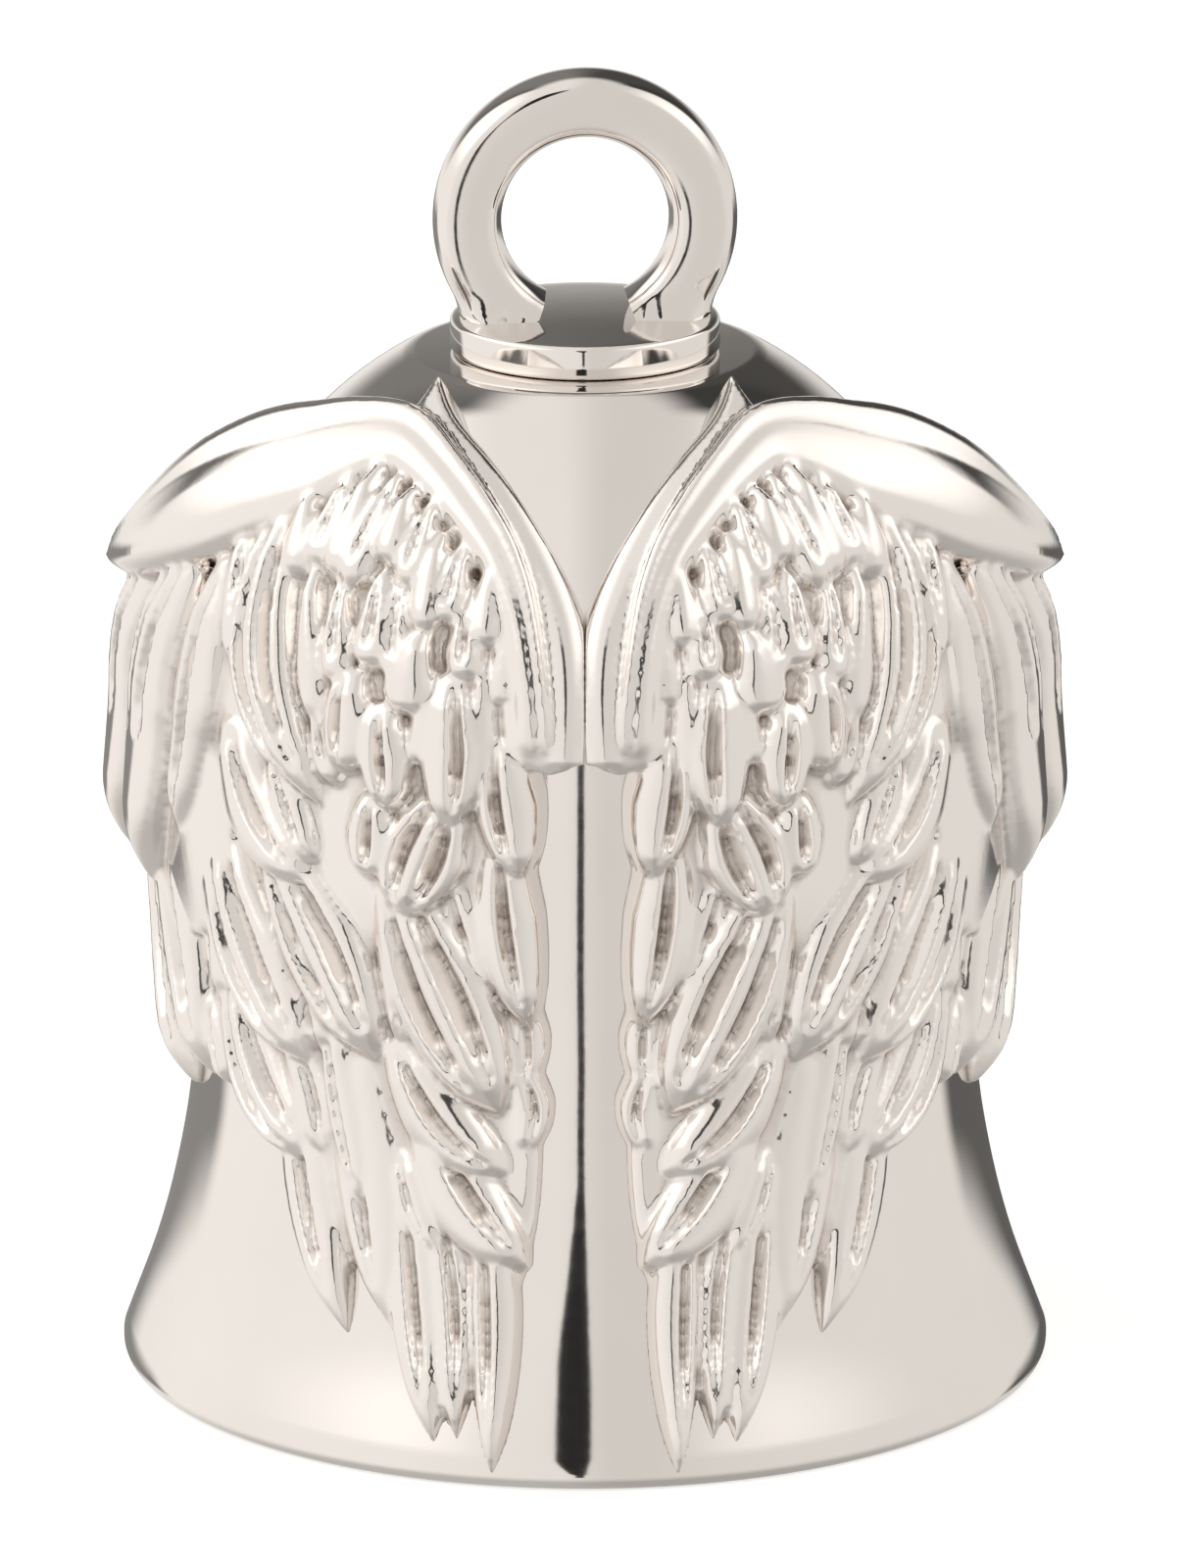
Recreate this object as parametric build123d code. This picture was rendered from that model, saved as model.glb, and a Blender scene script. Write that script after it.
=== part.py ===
from build123d import *
import os
from math import asin, cos, degrees, radians, sin, sqrt

# A small cast ride bell, hung from a ring.  A flared nickel-plated bell carries a pair of
# folded wings over its front.  Under the crown, a nut holds the collar's shank, and the shank
# carries a wire staple, a jump ring and a ball clapper.
# Millimetres.  The origin is the middle of the mouth, on the plane that the rim stands on.
# +Z runs up to the ring and the wings face -Y.

# ---- driving dimensions: the bell ----
TOTAL_HEIGHT = 38.1
DOME_R = 10.75
DOME_CENTRE_Z = 20.4
MOUTH_R = 13.43
WAIST = [(11.0, 16.5), (11.16, 11.5), (11.57, 7.0), (12.37, 3.5)]
FLANK_TANGENTS = [(0, 0, -1), (0.4, 0, -1)]
LIP_TOP_Z = 0.55
LIP_MIDDLE_Z = 0.2
LIP_MIDDLE_INSET = 0.06
LIP_INSET = 0.4
WALL = 1.3
CROWN_SEAT_Z = 29.9
CROWN_UNDER_Z = 28.7
CROWN_HOLE_R = 1.6

# ---- driving dimensions: the collar, its shank and nut ----
COLLAR_R = 3.86
COLLAR_TOP_Z = 31.0
COLLAR_TOP_ROUND = 0.15
COLLAR_FOOT_ROUND = 0.2
SHANK_R = 1.5
SHANK_END_Z = 26.2
NUT_ACROSS_FLATS = 5.5
NUT_THICKNESS = 2.4
NUT_CLEARANCE = 0.02
NUT_CORNER_CHAMFER = 0.35

# ---- driving dimensions: the hanging ring ----
RING_OUTER_R = 4.35
RING_WIRE_R = 0.99
RING_BORE_R = 2.47
RING_THROAT = 2.2
FOOT_X = 2.3
FOOT_BASE_R = 1.25
FOOT_TOP_R = 0.85
FOOT_HEIGHT = 0.9

# ---- driving dimensions: staple, jump ring and clapper ----
STAPLE_WIRE_R = 0.35
STAPLE_HALF_WIDTH = 0.85
STAPLE_DEPTH = 1.0
STAPLE_DROP = 2.15
STAPLE_HOLE_CLEARANCE = 0.01
LINK_WIRE_R = 0.3
LINK_R = 1.2
EYE_WIRE_R = 0.35
EYE_R = 0.9
RUNNING_GAP = 0.03
STEM_R = 0.45
STEM_SHOULDER_R = 0.8
STEM_SHOULDER_HEIGHT = 0.5
PEEN_R = 0.8
PEEN_HEIGHT = 0.35
BALL_R = 2.25
BALL_CENTRE_Z = 4.3
BALL_BORE_R = 0.47

# ---- driving dimensions: the wings ----
# Each tier is a set of leaf shapes on a band of metal that stands off the bell.  The lower
# tiers are thinner, and each tier's band is given as the metal's outer radius up the bell.
WING_GAP = 0.06
SHOULDER_BAND = [(13.2, 14.0), (13.95, 18.4), (13.5, 22.2), (13.4, 24.2), (9.3, 30.3), (3.9, 32.4)]
MIDDLE_BAND = [(12.3, 6.4), (12.75, 9.5), (13.0, 13.0), (13.3, 18.0), (13.0, 23.0)]
PRIMARY_BAND = [(14.0, 0.6), (12.8, 3.5), (12.35, 7.0), (12.3, 12.0), (12.4, 16.0)]
# The arm of the wing, seen from the front: from the centre lobe, up over the shoulder, to the
# outer tip and back under the coverts.
ARM_OUTLINE = [(1.6, 20.9), (0.55, 21.2), (0.2, 23.4), (1.7, 26.4), (3.4, 29.2), (4.5, 31.2),
               (5.6, 30.0), (8.3, 29.3), (11.2, 27.2), (13.6, 24.2), (13.6, 23.4), (11.0, 23.4)]
# The wing's reach round the bell, seen from the side as (depth, height).
SIDE_OUTLINE = [(-16.0, 0.0), (-16.0, 33.0), (-5.2, 33.0), (-4.6, 30.4), (-2.6, 29.2), (0.4, 27.0),
                (1.9, 24.4), (2.6, 20.0), (2.4, 16.5), (1.6, 14.6), (1.4, 11.5), (0.2, 8.6),
                (-3.6, 6.6), (-6.0, 0.0)]
# Leaves are (root angle, root height, tip angle, tip height, width): the angles are turned
# from the front of the bell, in degrees, and the heights and widths are in millimetres.
SHOULDER_LEAVES = [(96, 25.5, 96, 15.2, 3.4), (82, 25.5, 86, 14.6, 4.2), (66, 26.0, 74, 15.4, 4.4),
                   (56, 27.0, 45, 19.2, 5.0), (52, 22.5, 36, 16.9, 4.4), (42, 27.5, 31, 18.6, 4.6),
                   (32, 27.0, 25, 18.6, 4.6), (24, 26.0, 21, 16.0, 4.8), (17, 25.0, 16, 18.4, 3.6),
                   (11, 23.5, 8.5, 17.2, 2.6)]
MIDDLE_LEAVES = [(92, 16.5, 72, 7.6, 3.8), (74, 18.0, 60, 8.6, 4.4), (60, 19.0, 39, 10.8, 4.2),
                 (46, 19.0, 28, 11.4, 4.2), (30, 18.5, 10.5, 10.2, 4.0), (13, 20.0, 7.0, 12.6, 2.6),
                 (64, 14.0, 39, 8.2, 3.4), (38, 14.0, 27, 8.0, 4.0)]
PRIMARY_LEAVES = [(60, 12.0, 31, 3.7, 3.2), (46, 13.0, 27, 3.6, 3.4), (34, 13.0, 24, 4.2, 3.0),
                  (28, 13.5, 9.0, 8.6, 3.4), (20, 12.0, 6.4, 5.6, 3.0), (24, 10.0, 15.5, 1.3, 3.2),
                  (16, 10.0, 9.6, 0.9, 3.2)]

PARTS_DIR = "parts"

# ---- heights and radii worked out from the driving dimensions ----
RING_CENTRE_Z = TOTAL_HEIGHT - RING_OUTER_R
RING_CENTRELINE_R = RING_OUTER_R - RING_WIRE_R
STAPLE_BOTTOM_Z = SHANK_END_Z - STAPLE_DROP
LINK_TOP_Z = STAPLE_BOTTOM_Z + STAPLE_WIRE_R + LINK_WIRE_R + RUNNING_GAP
LINK_CENTRE_Z = LINK_TOP_Z - LINK_R
LINK_BOTTOM_Z = LINK_CENTRE_Z - LINK_R
EYE_CENTRE_Z = LINK_BOTTOM_Z + LINK_WIRE_R + EYE_WIRE_R + RUNNING_GAP - EYE_R
EYE_BOTTOM_Z = EYE_CENTRE_Z - EYE_R


def revolved(points_and_edges):
    """Turn a closed outline in the XZ plane once round the Z axis."""
    face = make_face(points_and_edges)
    return revolve(face, Axis.Z, 360)


def flank(offset):
    """The side of the bell from the dome's equator down to the lip, moved in by an offset."""
    points = [(DOME_R - offset, 0, DOME_CENTRE_Z)]
    points += [(radius - offset, 0, z) for radius, z in WAIST]
    points.append((MOUTH_R - offset, 0, LIP_TOP_Z))
    return Spline(*points, tangents=FLANK_TANGENTS)


def dome(offset, top_z):
    """The dome's arc from the flat at its crown down to its equator."""
    radius = DOME_R - offset
    start_angle = degrees(asin((top_z - DOME_CENTRE_Z) / radius))
    return Plane.XZ * Pos(0, DOME_CENTRE_Z) * CenterArc((0, 0), radius, 0, start_angle)


def bell_body(with_inside):
    """The bell as a turned body, either hollow or as the solid envelope that the wings fit."""
    dome_edge = dome(0, CROWN_SEAT_Z)
    crown_r = sqrt(DOME_R**2 - (CROWN_SEAT_Z - DOME_CENTRE_Z) ** 2)
    lip = ThreePointArc((MOUTH_R, 0, LIP_TOP_Z), (MOUTH_R - LIP_MIDDLE_INSET, 0, LIP_MIDDLE_Z),
                        (MOUTH_R - LIP_INSET, 0, 0))
    outline = [dome_edge, flank(0), lip]
    if not with_inside:
        outline += [Polyline((MOUTH_R - LIP_INSET, 0, 0), (0, 0, 0), (0, 0, CROWN_SEAT_Z),
                             (crown_r, 0, CROWN_SEAT_Z))]
        return revolved(outline)
    under_r = sqrt((DOME_R - WALL) ** 2 - (CROWN_UNDER_Z - DOME_CENTRE_Z) ** 2)
    outline += [
        Line((MOUTH_R - LIP_INSET, 0, 0), (MOUTH_R - WALL, 0, 0)),
        Line((MOUTH_R - WALL, 0, 0), (MOUTH_R - WALL, 0, LIP_TOP_Z)),
        flank(WALL),
        dome(WALL, CROWN_UNDER_Z),
        Polyline((under_r, 0, CROWN_UNDER_Z), (CROWN_HOLE_R, 0, CROWN_UNDER_Z),
                 (CROWN_HOLE_R, 0, CROWN_SEAT_Z), (crown_r, 0, CROWN_SEAT_Z)),
    ]
    return revolved(outline)


def leaf(root_angle, root_z, tip_angle, tip_z, width, radius):
    """A pointed leaf outline, seen from the front, from its root to its tip."""
    root = Vector(radius * sin(radians(root_angle)), root_z)
    tip = Vector(radius * sin(radians(tip_angle)), tip_z)
    along = tip - root
    across = Vector(-along.Y, along.X).normalized() * (width / 2)
    middle = root + along * 0.5
    sides = [ThreePointArc(root, middle + across, tip), ThreePointArc(tip, middle - across, root)]
    return make_face(sides)


def band(profile):
    """A solid turned from the axis out to a smooth profile of (radius, height) points."""
    curve = Spline(*[(radius, 0, z) for radius, z in profile])
    low, high = profile[0][1], profile[-1][1]
    closing = Polyline((profile[-1][0], 0, high), (0, 0, high), (0, 0, low), (profile[0][0], 0, low))
    return revolved([curve, closing])


def seen_from_front(shapes):
    """Push flat outlines straight back through the bell as one prism."""
    flat = Sketch() + shapes
    return extrude(Plane.XZ * flat, amount=2 * MOUTH_R, both=True)


def seen_from_side(points):
    """Push one flat outline sideways through the +X half of the bell."""
    side = Plane(origin=(WING_GAP, 0, 0), x_dir=(0, 1, 0), z_dir=(1, 0, 0))
    return extrude(side * make_face(Polyline(*points, close=True)), amount=2 * MOUTH_R)


def wing_right():
    """The wing on the +X side: three tiers of feathers fitted to the bell's outside."""
    arm = make_face(Polyline(*ARM_OUTLINE, close=True))
    tiers = [
        (SHOULDER_BAND, [arm] + [leaf(*each, DOME_R + 2 * WALL) for each in SHOULDER_LEAVES]),
        (MIDDLE_BAND, [leaf(*each, DOME_R + WALL) for each in MIDDLE_LEAVES]),
        (PRIMARY_BAND, [leaf(*each, DOME_R + WALL) for each in PRIMARY_LEAVES]),
    ]
    wing = Part()
    for profile, shapes in tiers:
        wing += band(profile) & seen_from_front(shapes)
    return (wing & seen_from_side(SIDE_OUTLINE)) - bell_body(with_inside=False)


def hanging_ring():
    """A round-wire ring whose two feet stand on the collar, with a narrow throat between."""
    centre = Pos(0, 0, RING_CENTRE_Z)
    wire = centre * Rot(90, 0, 0) * Torus(RING_CENTRELINE_R, RING_WIRE_R)
    for side in (-1, 1):
        foot = Cone(FOOT_BASE_R, FOOT_TOP_R, FOOT_HEIGHT)
        wire += Pos(side * FOOT_X, 0, COLLAR_TOP_Z + FOOT_HEIGHT / 2) * foot
    bore = centre * Rot(90, 0, 0) * Cylinder(RING_BORE_R, 4 * RING_WIRE_R)
    throat_height = RING_CENTRE_Z - COLLAR_TOP_Z
    throat = Pos(0, 0, COLLAR_TOP_Z + throat_height / 2) * Box(
        RING_THROAT, 4 * FOOT_BASE_R, throat_height)
    under_collar = Pos(0, 0, COLLAR_TOP_Z - RING_OUTER_R) * Box(
        4 * RING_OUTER_R, 4 * RING_OUTER_R, 2 * RING_OUTER_R)
    return wire - bore - throat - under_collar


def crown_collar():
    """The turned collar on the crown, with the shank that runs down through it."""
    height = COLLAR_TOP_Z - CROWN_SEAT_Z
    disc = Pos(0, 0, CROWN_SEAT_Z + height / 2) * Cylinder(COLLAR_R, height)
    disc = fillet(disc.edges().sort_by(Axis.Z)[-1], COLLAR_TOP_ROUND)
    disc = fillet(disc.edges().sort_by(Axis.Z)[0], COLLAR_FOOT_ROUND)
    shank_length = CROWN_SEAT_Z - SHANK_END_Z
    shank = Pos(0, 0, SHANK_END_Z + shank_length / 2) * Cylinder(SHANK_R, shank_length)
    collar = disc + shank
    for side in (-1, 1):
        hole = Cylinder(STAPLE_WIRE_R + STAPLE_HOLE_CLEARANCE, 2 * STAPLE_DEPTH)
        collar -= Pos(side * STAPLE_HALF_WIDTH, 0, SHANK_END_Z) * hole
    return collar


def crown_nut():
    """The hexagon nut that pulls the collar down on the crown."""
    middle_z = CROWN_UNDER_Z - NUT_THICKNESS / 2
    hexagon = RegularPolygon(NUT_ACROSS_FLATS / 2, 6, major_radius=False)
    blank = extrude(hexagon, NUT_THICKNESS / 2, both=True)
    corner_r = NUT_ACROSS_FLATS / 2 / cos(radians(30))
    rounding = Cylinder(corner_r, NUT_THICKNESS)
    rounding = chamfer(rounding.edges().sort_by(Axis.Z)[0], NUT_CORNER_CHAMFER)
    hole = Cylinder(SHANK_R + NUT_CLEARANCE, 2 * NUT_THICKNESS)
    return Pos(0, 0, middle_z) * ((blank & rounding) - hole)


def clapper_staple():
    """A U of wire whose two ends are set in the shank."""
    bend_z = STAPLE_BOTTOM_Z + STAPLE_HALF_WIDTH
    top_z = SHANK_END_Z + STAPLE_DEPTH
    path = Wire([
        Edge.make_line((-STAPLE_HALF_WIDTH, 0, top_z), (-STAPLE_HALF_WIDTH, 0, bend_z)),
        Edge.make_three_point_arc((-STAPLE_HALF_WIDTH, 0, bend_z), (0, 0, STAPLE_BOTTOM_Z),
                                  (STAPLE_HALF_WIDTH, 0, bend_z)),
        Edge.make_line((STAPLE_HALF_WIDTH, 0, bend_z), (STAPLE_HALF_WIDTH, 0, top_z)),
    ])
    section = Plane(origin=(-STAPLE_HALF_WIDTH, 0, top_z), z_dir=(0, 0, -1)) * Circle(STAPLE_WIRE_R)
    return sweep(section, path)


def jump_ring():
    """The soldered ring that joins the staple to the clapper's eye."""
    return Pos(0, 0, LINK_CENTRE_Z) * Rot(0, 90, 0) * Torus(LINK_R, LINK_WIRE_R)


def clapper_stem():
    """The clapper's rod: an eye, a shoulder above the ball and a peened end below it."""
    eye = Pos(0, 0, EYE_CENTRE_Z) * Rot(90, 0, 0) * Torus(EYE_R, EYE_WIRE_R)
    peen_z = BALL_CENTRE_Z - BALL_R
    rod = Pos(0, 0, (EYE_BOTTOM_Z + peen_z) / 2) * Cylinder(STEM_R, EYE_BOTTOM_Z - peen_z)
    shoulder_z = BALL_CENTRE_Z + BALL_R + STEM_SHOULDER_HEIGHT / 2
    shoulder = Pos(0, 0, shoulder_z) * Cone(STEM_SHOULDER_R, STEM_R, STEM_SHOULDER_HEIGHT)
    peen = Pos(0, 0, peen_z - PEEN_HEIGHT / 2) * Cone(STEM_R, PEEN_R, PEEN_HEIGHT)
    return eye + rod + shoulder + peen


def clapper_ball():
    """The striking ball, bored through for the rod."""
    ball = Pos(0, 0, BALL_CENTRE_Z) * Sphere(BALL_R)
    return ball - Pos(0, 0, BALL_CENTRE_Z) * Cylinder(BALL_BORE_R, 3 * BALL_R)


def main():
    """Build every sub-part and write one STEP file for each."""
    right = wing_right()
    nodes = {
        "bell_shell": bell_body(with_inside=True),
        "wing_right": right,
        "wing_left": mirror(right, Plane.YZ),
        "hanging_ring": hanging_ring(),
        "crown_collar": crown_collar(),
        "crown_nut": crown_nut(),
        "clapper_staple": clapper_staple(),
        "jump_ring": jump_ring(),
        "clapper_stem": clapper_stem(),
        "clapper_ball": clapper_ball(),
    }
    os.makedirs(PARTS_DIR, exist_ok=True)
    for name, shape in nodes.items():
        export_step(shape, f"{PARTS_DIR}/{name}.step")
        print(name, round(shape.volume, 2), shape.bounding_box())


main()
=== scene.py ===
import math

import bmesh
import bpy
import numpy as np
from bpy.props import FloatProperty, FloatVectorProperty, IntProperty
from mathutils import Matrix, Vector


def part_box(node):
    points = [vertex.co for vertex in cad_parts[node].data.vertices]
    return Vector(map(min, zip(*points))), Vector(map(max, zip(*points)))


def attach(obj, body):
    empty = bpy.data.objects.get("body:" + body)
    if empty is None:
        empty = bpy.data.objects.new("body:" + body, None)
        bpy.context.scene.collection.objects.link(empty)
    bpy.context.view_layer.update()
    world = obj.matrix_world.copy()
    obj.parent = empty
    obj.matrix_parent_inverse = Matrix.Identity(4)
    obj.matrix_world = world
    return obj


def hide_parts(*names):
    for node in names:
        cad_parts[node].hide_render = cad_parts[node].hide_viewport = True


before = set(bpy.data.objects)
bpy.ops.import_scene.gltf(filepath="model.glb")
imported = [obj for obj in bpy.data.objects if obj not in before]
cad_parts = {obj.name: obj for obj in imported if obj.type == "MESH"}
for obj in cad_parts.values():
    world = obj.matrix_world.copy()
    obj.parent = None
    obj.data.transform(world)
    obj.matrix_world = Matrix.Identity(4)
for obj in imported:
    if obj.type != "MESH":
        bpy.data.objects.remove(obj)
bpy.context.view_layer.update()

bl_info = {
    "name": "Winged Ride Bell",
    "version": (1, 0, 0),
    "blender": (4, 5, 0),
    "location": "3D View > Sidebar > Ride Bell",
    "description": "Models a small cast bell with folded wings, its hanging ring and its clapper",
    "category": "Add Mesh",
}

# Pieces are modelled in millimetres and brought to metres when they are finished.
MM = 0.001


def node_box(node):
    """A CAD node's lowest and highest corners, in millimetres."""
    low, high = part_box(node)
    return low / MM, high / MM


SHELL_HIGH = node_box("bell_shell")[1]
COLLAR_LOW, COLLAR_HIGH = node_box("crown_collar")
RING_HIGH = node_box("hanging_ring")[1]
NUT_LOW, NUT_HIGH = node_box("crown_nut")
STAPLE_LOW, STAPLE_HIGH = node_box("clapper_staple")
LINK_LOW, LINK_HIGH = node_box("jump_ring")
STEM_LOW, STEM_HIGH = node_box("clapper_stem")
BALL_LOW, BALL_HIGH = node_box("clapper_ball")

# The bell's flank, from the dome's equator down to the lip, as (radius, height).
DOME_R = 10.75
DOME_CENTRE_Z = 20.4
MOUTH_R = 13.43
LIP_TOP_Z = 0.55
FLANK = [(DOME_R, DOME_CENTRE_Z), (11.0, 16.5), (11.16, 11.5), (11.57, 7.0), (12.37, 3.5),
         (MOUTH_R, LIP_TOP_Z)]
FLANK_STEPS = 40
DOME_STEPS = 26
INNER_LIP_ROUND = 0.25

# The collar's shank and foot, and the ring's feet.
SHANK_R = 1.5
SHANK_CHAMFER = 0.2
COLLAR_FOOT_ROUND = 0.2
RING_FOOT_X = 1.9
RING_FOOT_HEIGHT = 0.12
# How deep the wire's flats are cut, as shares of its radius, and what is left of the cut part.
FLAT_SHARE = 0.74
FLAT_BULGE = 0.12

# The fixings and the clapper.
NUT_BORE_R = 1.52
NUT_BEVEL = 0.14
ROD_R = 0.45
EYE_WIRE_R = 0.35
BALL_BORE_R = 0.47


# ------------------------------------------------------------------ the bell's surface
def cubic_through(points, steps):
    """A smooth line through (radius, height) points that never swings past them."""
    z = np.array([p[1] for p in points][::-1])
    r = np.array([p[0] for p in points][::-1])
    slope = np.gradient(r, z)
    slope[-1] = 0.0
    out = []
    for height in np.linspace(z[-1], z[0], steps + 1):
        i = int(np.clip(np.searchsorted(z, height) - 1, 0, len(z) - 2))
        step = z[i + 1] - z[i]
        t = (height - z[i]) / step
        out.append((
            (1 + 2 * t) * (1 - t) ** 2 * r[i] + t * (1 - t) ** 2 * step * slope[i]
            + t * t * (3 - 2 * t) * r[i + 1] + t * t * (t - 1) * step * slope[i + 1], height))
    return out


FLANK_LINE = cubic_through(FLANK, 160)
LINE_Z = np.array([p[1] for p in FLANK_LINE][::-1])
LINE_R = np.array([p[0] for p in FLANK_LINE][::-1])
LINE_SLOPE = np.gradient(LINE_R, LINE_Z)


def on_bell(angle, z, height):
    """Points a height off the bell's surface, from angles in radians off the front and heights."""
    z = np.minimum(z, DOME_CENTRE_Z + DOME_R * 0.98)
    rise = np.arcsin(np.clip((z - DOME_CENTRE_Z) / DOME_R, 0, 1))
    dome_r = (DOME_R + height) * np.cos(rise)
    dome_z = DOME_CENTRE_Z + (DOME_R + height) * np.sin(rise)
    slope = np.interp(z, LINE_Z, LINE_SLOPE)
    length = np.sqrt(1 + slope * slope)
    flank_r = np.interp(z, LINE_Z, LINE_R) + height / length
    flank_z = z - height * slope / length
    above = z > DOME_CENTRE_Z
    r = np.where(above, dome_r, flank_r)
    out_z = np.where(above, dome_z, flank_z)
    return np.stack([r * np.sin(angle), -r * np.cos(angle), out_z], -1)


def height_off_bell(points):
    """How far each point stands off the bell's surface."""
    r = np.hypot(points[:, 0], points[:, 1])
    z = points[:, 2]
    slope = np.interp(z, LINE_Z, LINE_SLOPE)
    flank = (r - np.interp(z, LINE_Z, LINE_R)) / np.sqrt(1 + slope * slope)
    dome = np.hypot(r, z - DOME_CENTRE_Z) - DOME_R
    return np.where(z > DOME_CENTRE_Z, dome, flank)


# ------------------------------------------------------------------ modelling helpers
def start():
    """Leave every object deselected, so that an operator acts only on the new piece."""
    if bpy.context.mode != "OBJECT":
        bpy.ops.object.mode_set(mode="OBJECT")
    bpy.ops.object.select_all(action="DESELECT")


def take(piece):
    """Make one piece the only one selected, and the active one."""
    start()
    piece.select_set(True)
    bpy.context.view_layer.objects.active = piece


def places_of(mesh):
    """The place of every vertex, one row each."""
    points = np.zeros(len(mesh.vertices) * 3)
    mesh.vertices.foreach_get("co", points)
    return points.reshape(-1, 3)


def pick(test):
    """In edit mode, select only the vertices whose place passes a test."""
    bpy.ops.mesh.select_all(action="DESELECT")
    mesh = bmesh.from_edit_mesh(bpy.context.active_object.data)
    for vertex in mesh.verts:
        vertex.select = bool(test(vertex.co))
    mesh.select_flush(True)
    bmesh.update_edit_mesh(bpy.context.active_object.data)


def turned(outline, steps):
    """Spin an outline of (radius, height) points once round the bell's axis."""
    start()
    bpy.ops.mesh.primitive_plane_add(size=1)
    bpy.ops.object.mode_set(mode="EDIT")
    bpy.ops.mesh.merge(type="CENTER")
    here = Vector((outline[0][0], 0, outline[0][1]))
    bpy.ops.transform.translate(value=here)
    for radius, z in outline[1:]:
        there = Vector((radius, 0, z))
        bpy.ops.mesh.extrude_region_move(TRANSFORM_OT_translate={"value": there - here})
        here = there
    bpy.ops.mesh.select_all(action="SELECT")
    bpy.ops.mesh.spin(steps=steps, angle=2 * math.pi, center=(0, 0, 0), axis=(0, 0, 1))
    tidy_surface()
    bpy.ops.object.mode_set(mode="OBJECT")
    return bpy.context.active_object


def tidy_surface(merge=0.0005):
    """In edit mode, merge doubled vertices and turn every face outwards."""
    bpy.ops.mesh.select_all(action="SELECT")
    bpy.ops.mesh.remove_doubles(threshold=merge)
    bpy.ops.mesh.normals_make_consistent(inside=False)


def wire_ring(radius, wire, z, rotation, segments):
    """Add a ring of round wire on the bell's axis."""
    start()
    bpy.ops.mesh.primitive_torus_add(
        major_radius=radius, minor_radius=wire, major_segments=segments, minor_segments=24,
        location=(0, 0, z), rotation=rotation)
    bpy.ops.object.transform_apply(location=True, rotation=True, scale=True)


def arc(centre, radius, start_angle, end_angle, steps):
    """Points along an arc in the outline plane, with the angles in degrees."""
    turns = np.radians(np.linspace(start_angle, end_angle, steps + 1))
    return [(centre[0] + radius * math.cos(a), centre[1] + radius * math.sin(a)) for a in turns]


def put_modifier(piece, kind, **settings):
    """Add one modifier, set it up and apply it."""
    take(piece)
    modifier = piece.modifiers.new(kind.title(), kind)
    for key, value in settings.items():
        setattr(modifier, key, value)
    bpy.ops.object.modifier_apply(modifier=modifier.name)


def finish_piece(piece, name, material, body, node, sharp=40):
    """Bring a piece to metres, smooth it, give it its finish and tie it to the frame."""
    take(piece)
    bpy.ops.transform.resize(value=(MM, MM, MM), center_override=(0, 0, 0))
    bpy.ops.object.transform_apply(location=True, rotation=True, scale=True)
    bpy.ops.object.shade_smooth_by_angle(angle=math.radians(sharp))
    piece.name = name
    piece.data.name = name
    piece.data.materials.clear()
    piece.data.materials.append(material)
    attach(piece, body)
    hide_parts(node)
    return piece


# ------------------------------------------------------------------ settings
class RideBellSizes(bpy.types.PropertyGroup):
    """Sizes of the turned and bent pieces, in millimetres."""

    wall: FloatProperty(name="Wall", description="Thickness of the bell's wall", default=1.3)
    lip_inset: FloatProperty(
        name="Lip inset", description="Width of the rounded edge of the mouth", default=0.4)
    crown_seat: FloatProperty(
        name="Crown seat", description="Height of the flat that the collar stands on",
        default=SHELL_HIGH.z)
    crown_round: FloatProperty(
        name="Crown round", description="Rounding where the crown's flat meets the dome",
        default=0.9)
    crown_hole: FloatProperty(
        name="Crown hole", description="Radius of the hole for the shank", default=1.6)
    collar_crown: FloatProperty(
        name="Collar crown", description="How much the collar's top rises to its middle",
        default=0.1)
    collar_round: FloatProperty(
        name="Collar round", description="Rounding of the collar's top edge", default=0.15)
    wire: FloatProperty(
        name="Ring wire", description="Radius of the hanging ring's wire",
        default=0.98)
    ring_turn: FloatProperty(
        name="Ring turn", description="How far the ring is turned on its collar", default=-0.06,
        subtype="ANGLE")
    throat: FloatProperty(
        name="Ring throat", description="Half the gap between the ring's feet", default=28.0)


class RideBellFinish(bpy.types.PropertyGroup):
    """Colours and gloss of the plated metal."""

    nickel: FloatVectorProperty(
        name="Nickel", description="Colour of the bright plate", subtype="COLOR",
        default=(0.90, 0.86, 0.83))
    # Dark brown of the hollows between the feathers: partly dull metal, partly painted shade.
    dull_metal_and_shade: FloatVectorProperty(
        name="Recess", description="Colour of the dull metal between the feathers",
        subtype="COLOR", default=(0.22, 0.165, 0.125))
    steel: FloatVectorProperty(
        name="Steel", description="Colour of the bare steel inside", subtype="COLOR",
        default=(0.62, 0.60, 0.58))
    gloss: FloatProperty(
        name="Roughness", description="Roughness of the bright plate", default=0.05)


class RideBellWing(bpy.types.PropertyGroup):
    """How finely the wings are modelled."""

    grain: FloatProperty(
        name="Grain", description="Size of the cells that the feathers are fused with, in mm",
        default=0.107)
    softening: IntProperty(
        name="Softening", description="Rounds of smoothing that melt the feathers together",
        default=10)
    gloss: FloatProperty(
        name="Wing roughness", description="Roughness of the plate on the wings", default=0.11)


class RideBellStage(bpy.types.PropertyGroup):
    """The floor and the camera."""

    floor_size: FloatProperty(
        name="Floor size", description="Width of the floor", default=3.0, unit="LENGTH")
    camera_back: FloatProperty(
        name="Camera distance", description="How far the camera stands in front", default=0.3851,
        unit="LENGTH")
    camera_up: FloatProperty(
        name="Camera height", description="Height of the camera", default=0.1295, unit="LENGTH")
    camera_tilt: FloatProperty(
        name="Camera tilt", description="How far the camera looks down", default=0.2844,
        subtype="ANGLE")
    lens: FloatProperty(name="Lens", description="Focal length in millimetres", default=319.6)


# ------------------------------------------------------------------ materials
def new_material(name):
    """An empty node material with its shader and output."""
    material = bpy.data.materials.new(name)
    material.use_nodes = True
    nodes = material.node_tree.nodes
    shader = nodes["Principled BSDF"]
    return material, nodes, material.node_tree.links, shader


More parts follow.
